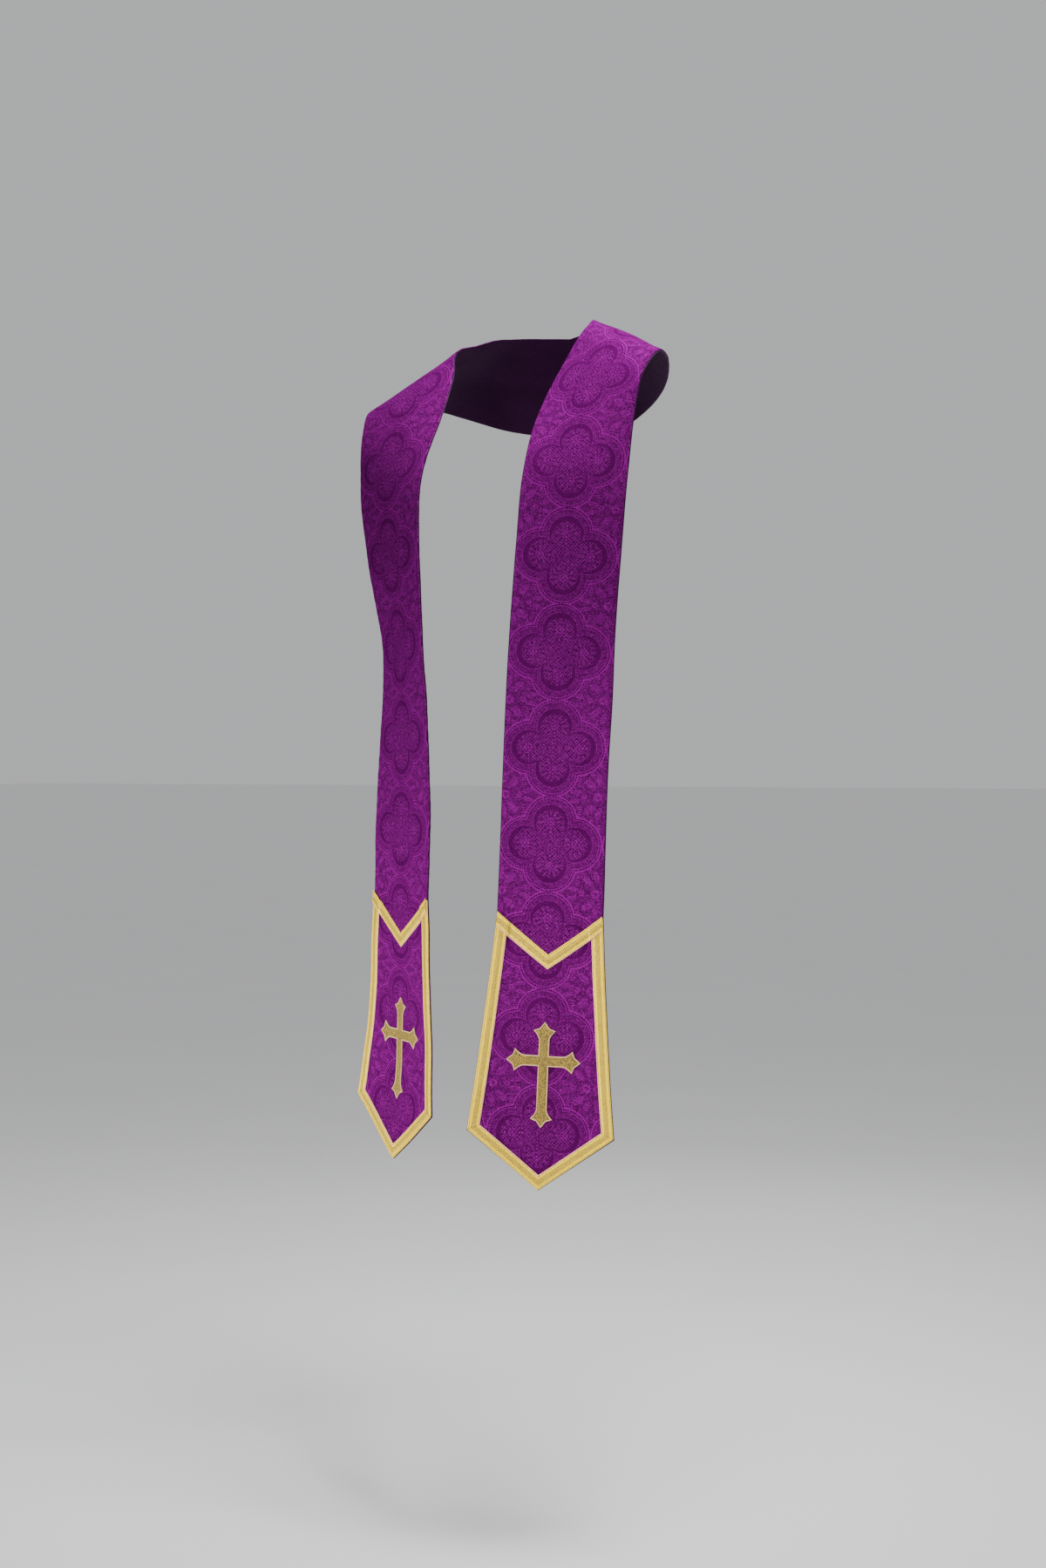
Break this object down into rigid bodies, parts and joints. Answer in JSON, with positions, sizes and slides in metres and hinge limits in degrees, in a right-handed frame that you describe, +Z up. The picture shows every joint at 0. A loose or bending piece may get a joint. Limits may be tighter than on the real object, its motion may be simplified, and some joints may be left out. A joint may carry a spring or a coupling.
{
  "type": "clerical stole",
  "caption": "Worn clerical stole: lined damask bands joined behind the neck, with gold-framed pointed ends and embroidered crosses.",
  "frame": {"origin": "nape of the neck, at the top of the centre-back seam, where the worn stole is held", "axes": "+Z up, the wearer faces -Y, and the wearer's left side is +X"},
  "size_m": [0.42, 0.3092, 1.0653],
  "materials": {
    "damask": "purple satin damask with a woven quatrefoil pattern",
    "lining": "very dark plain lining",
    "braid": "metallic gold galloon with pale selvedges",
    "embroidery": "antique gold thread with a pale satin-stitched edge"
  },
  "bodies": {
    "root": {"panel_left": "damask", "panel_right": "damask", "lining_left": "lining", "lining_right": "lining", "braid_chevron_left": "braid", "braid_chevron_right": "braid", "braid_neck_side_left": "braid", "braid_neck_side_right": "braid", "braid_arm_side_left": "braid", "braid_arm_side_right": "braid", "braid_point_left": "braid", "braid_point_right": "braid", "cross_left": "embroidery", "cross_right": "embroidery"}
  },
  "joints": []
}
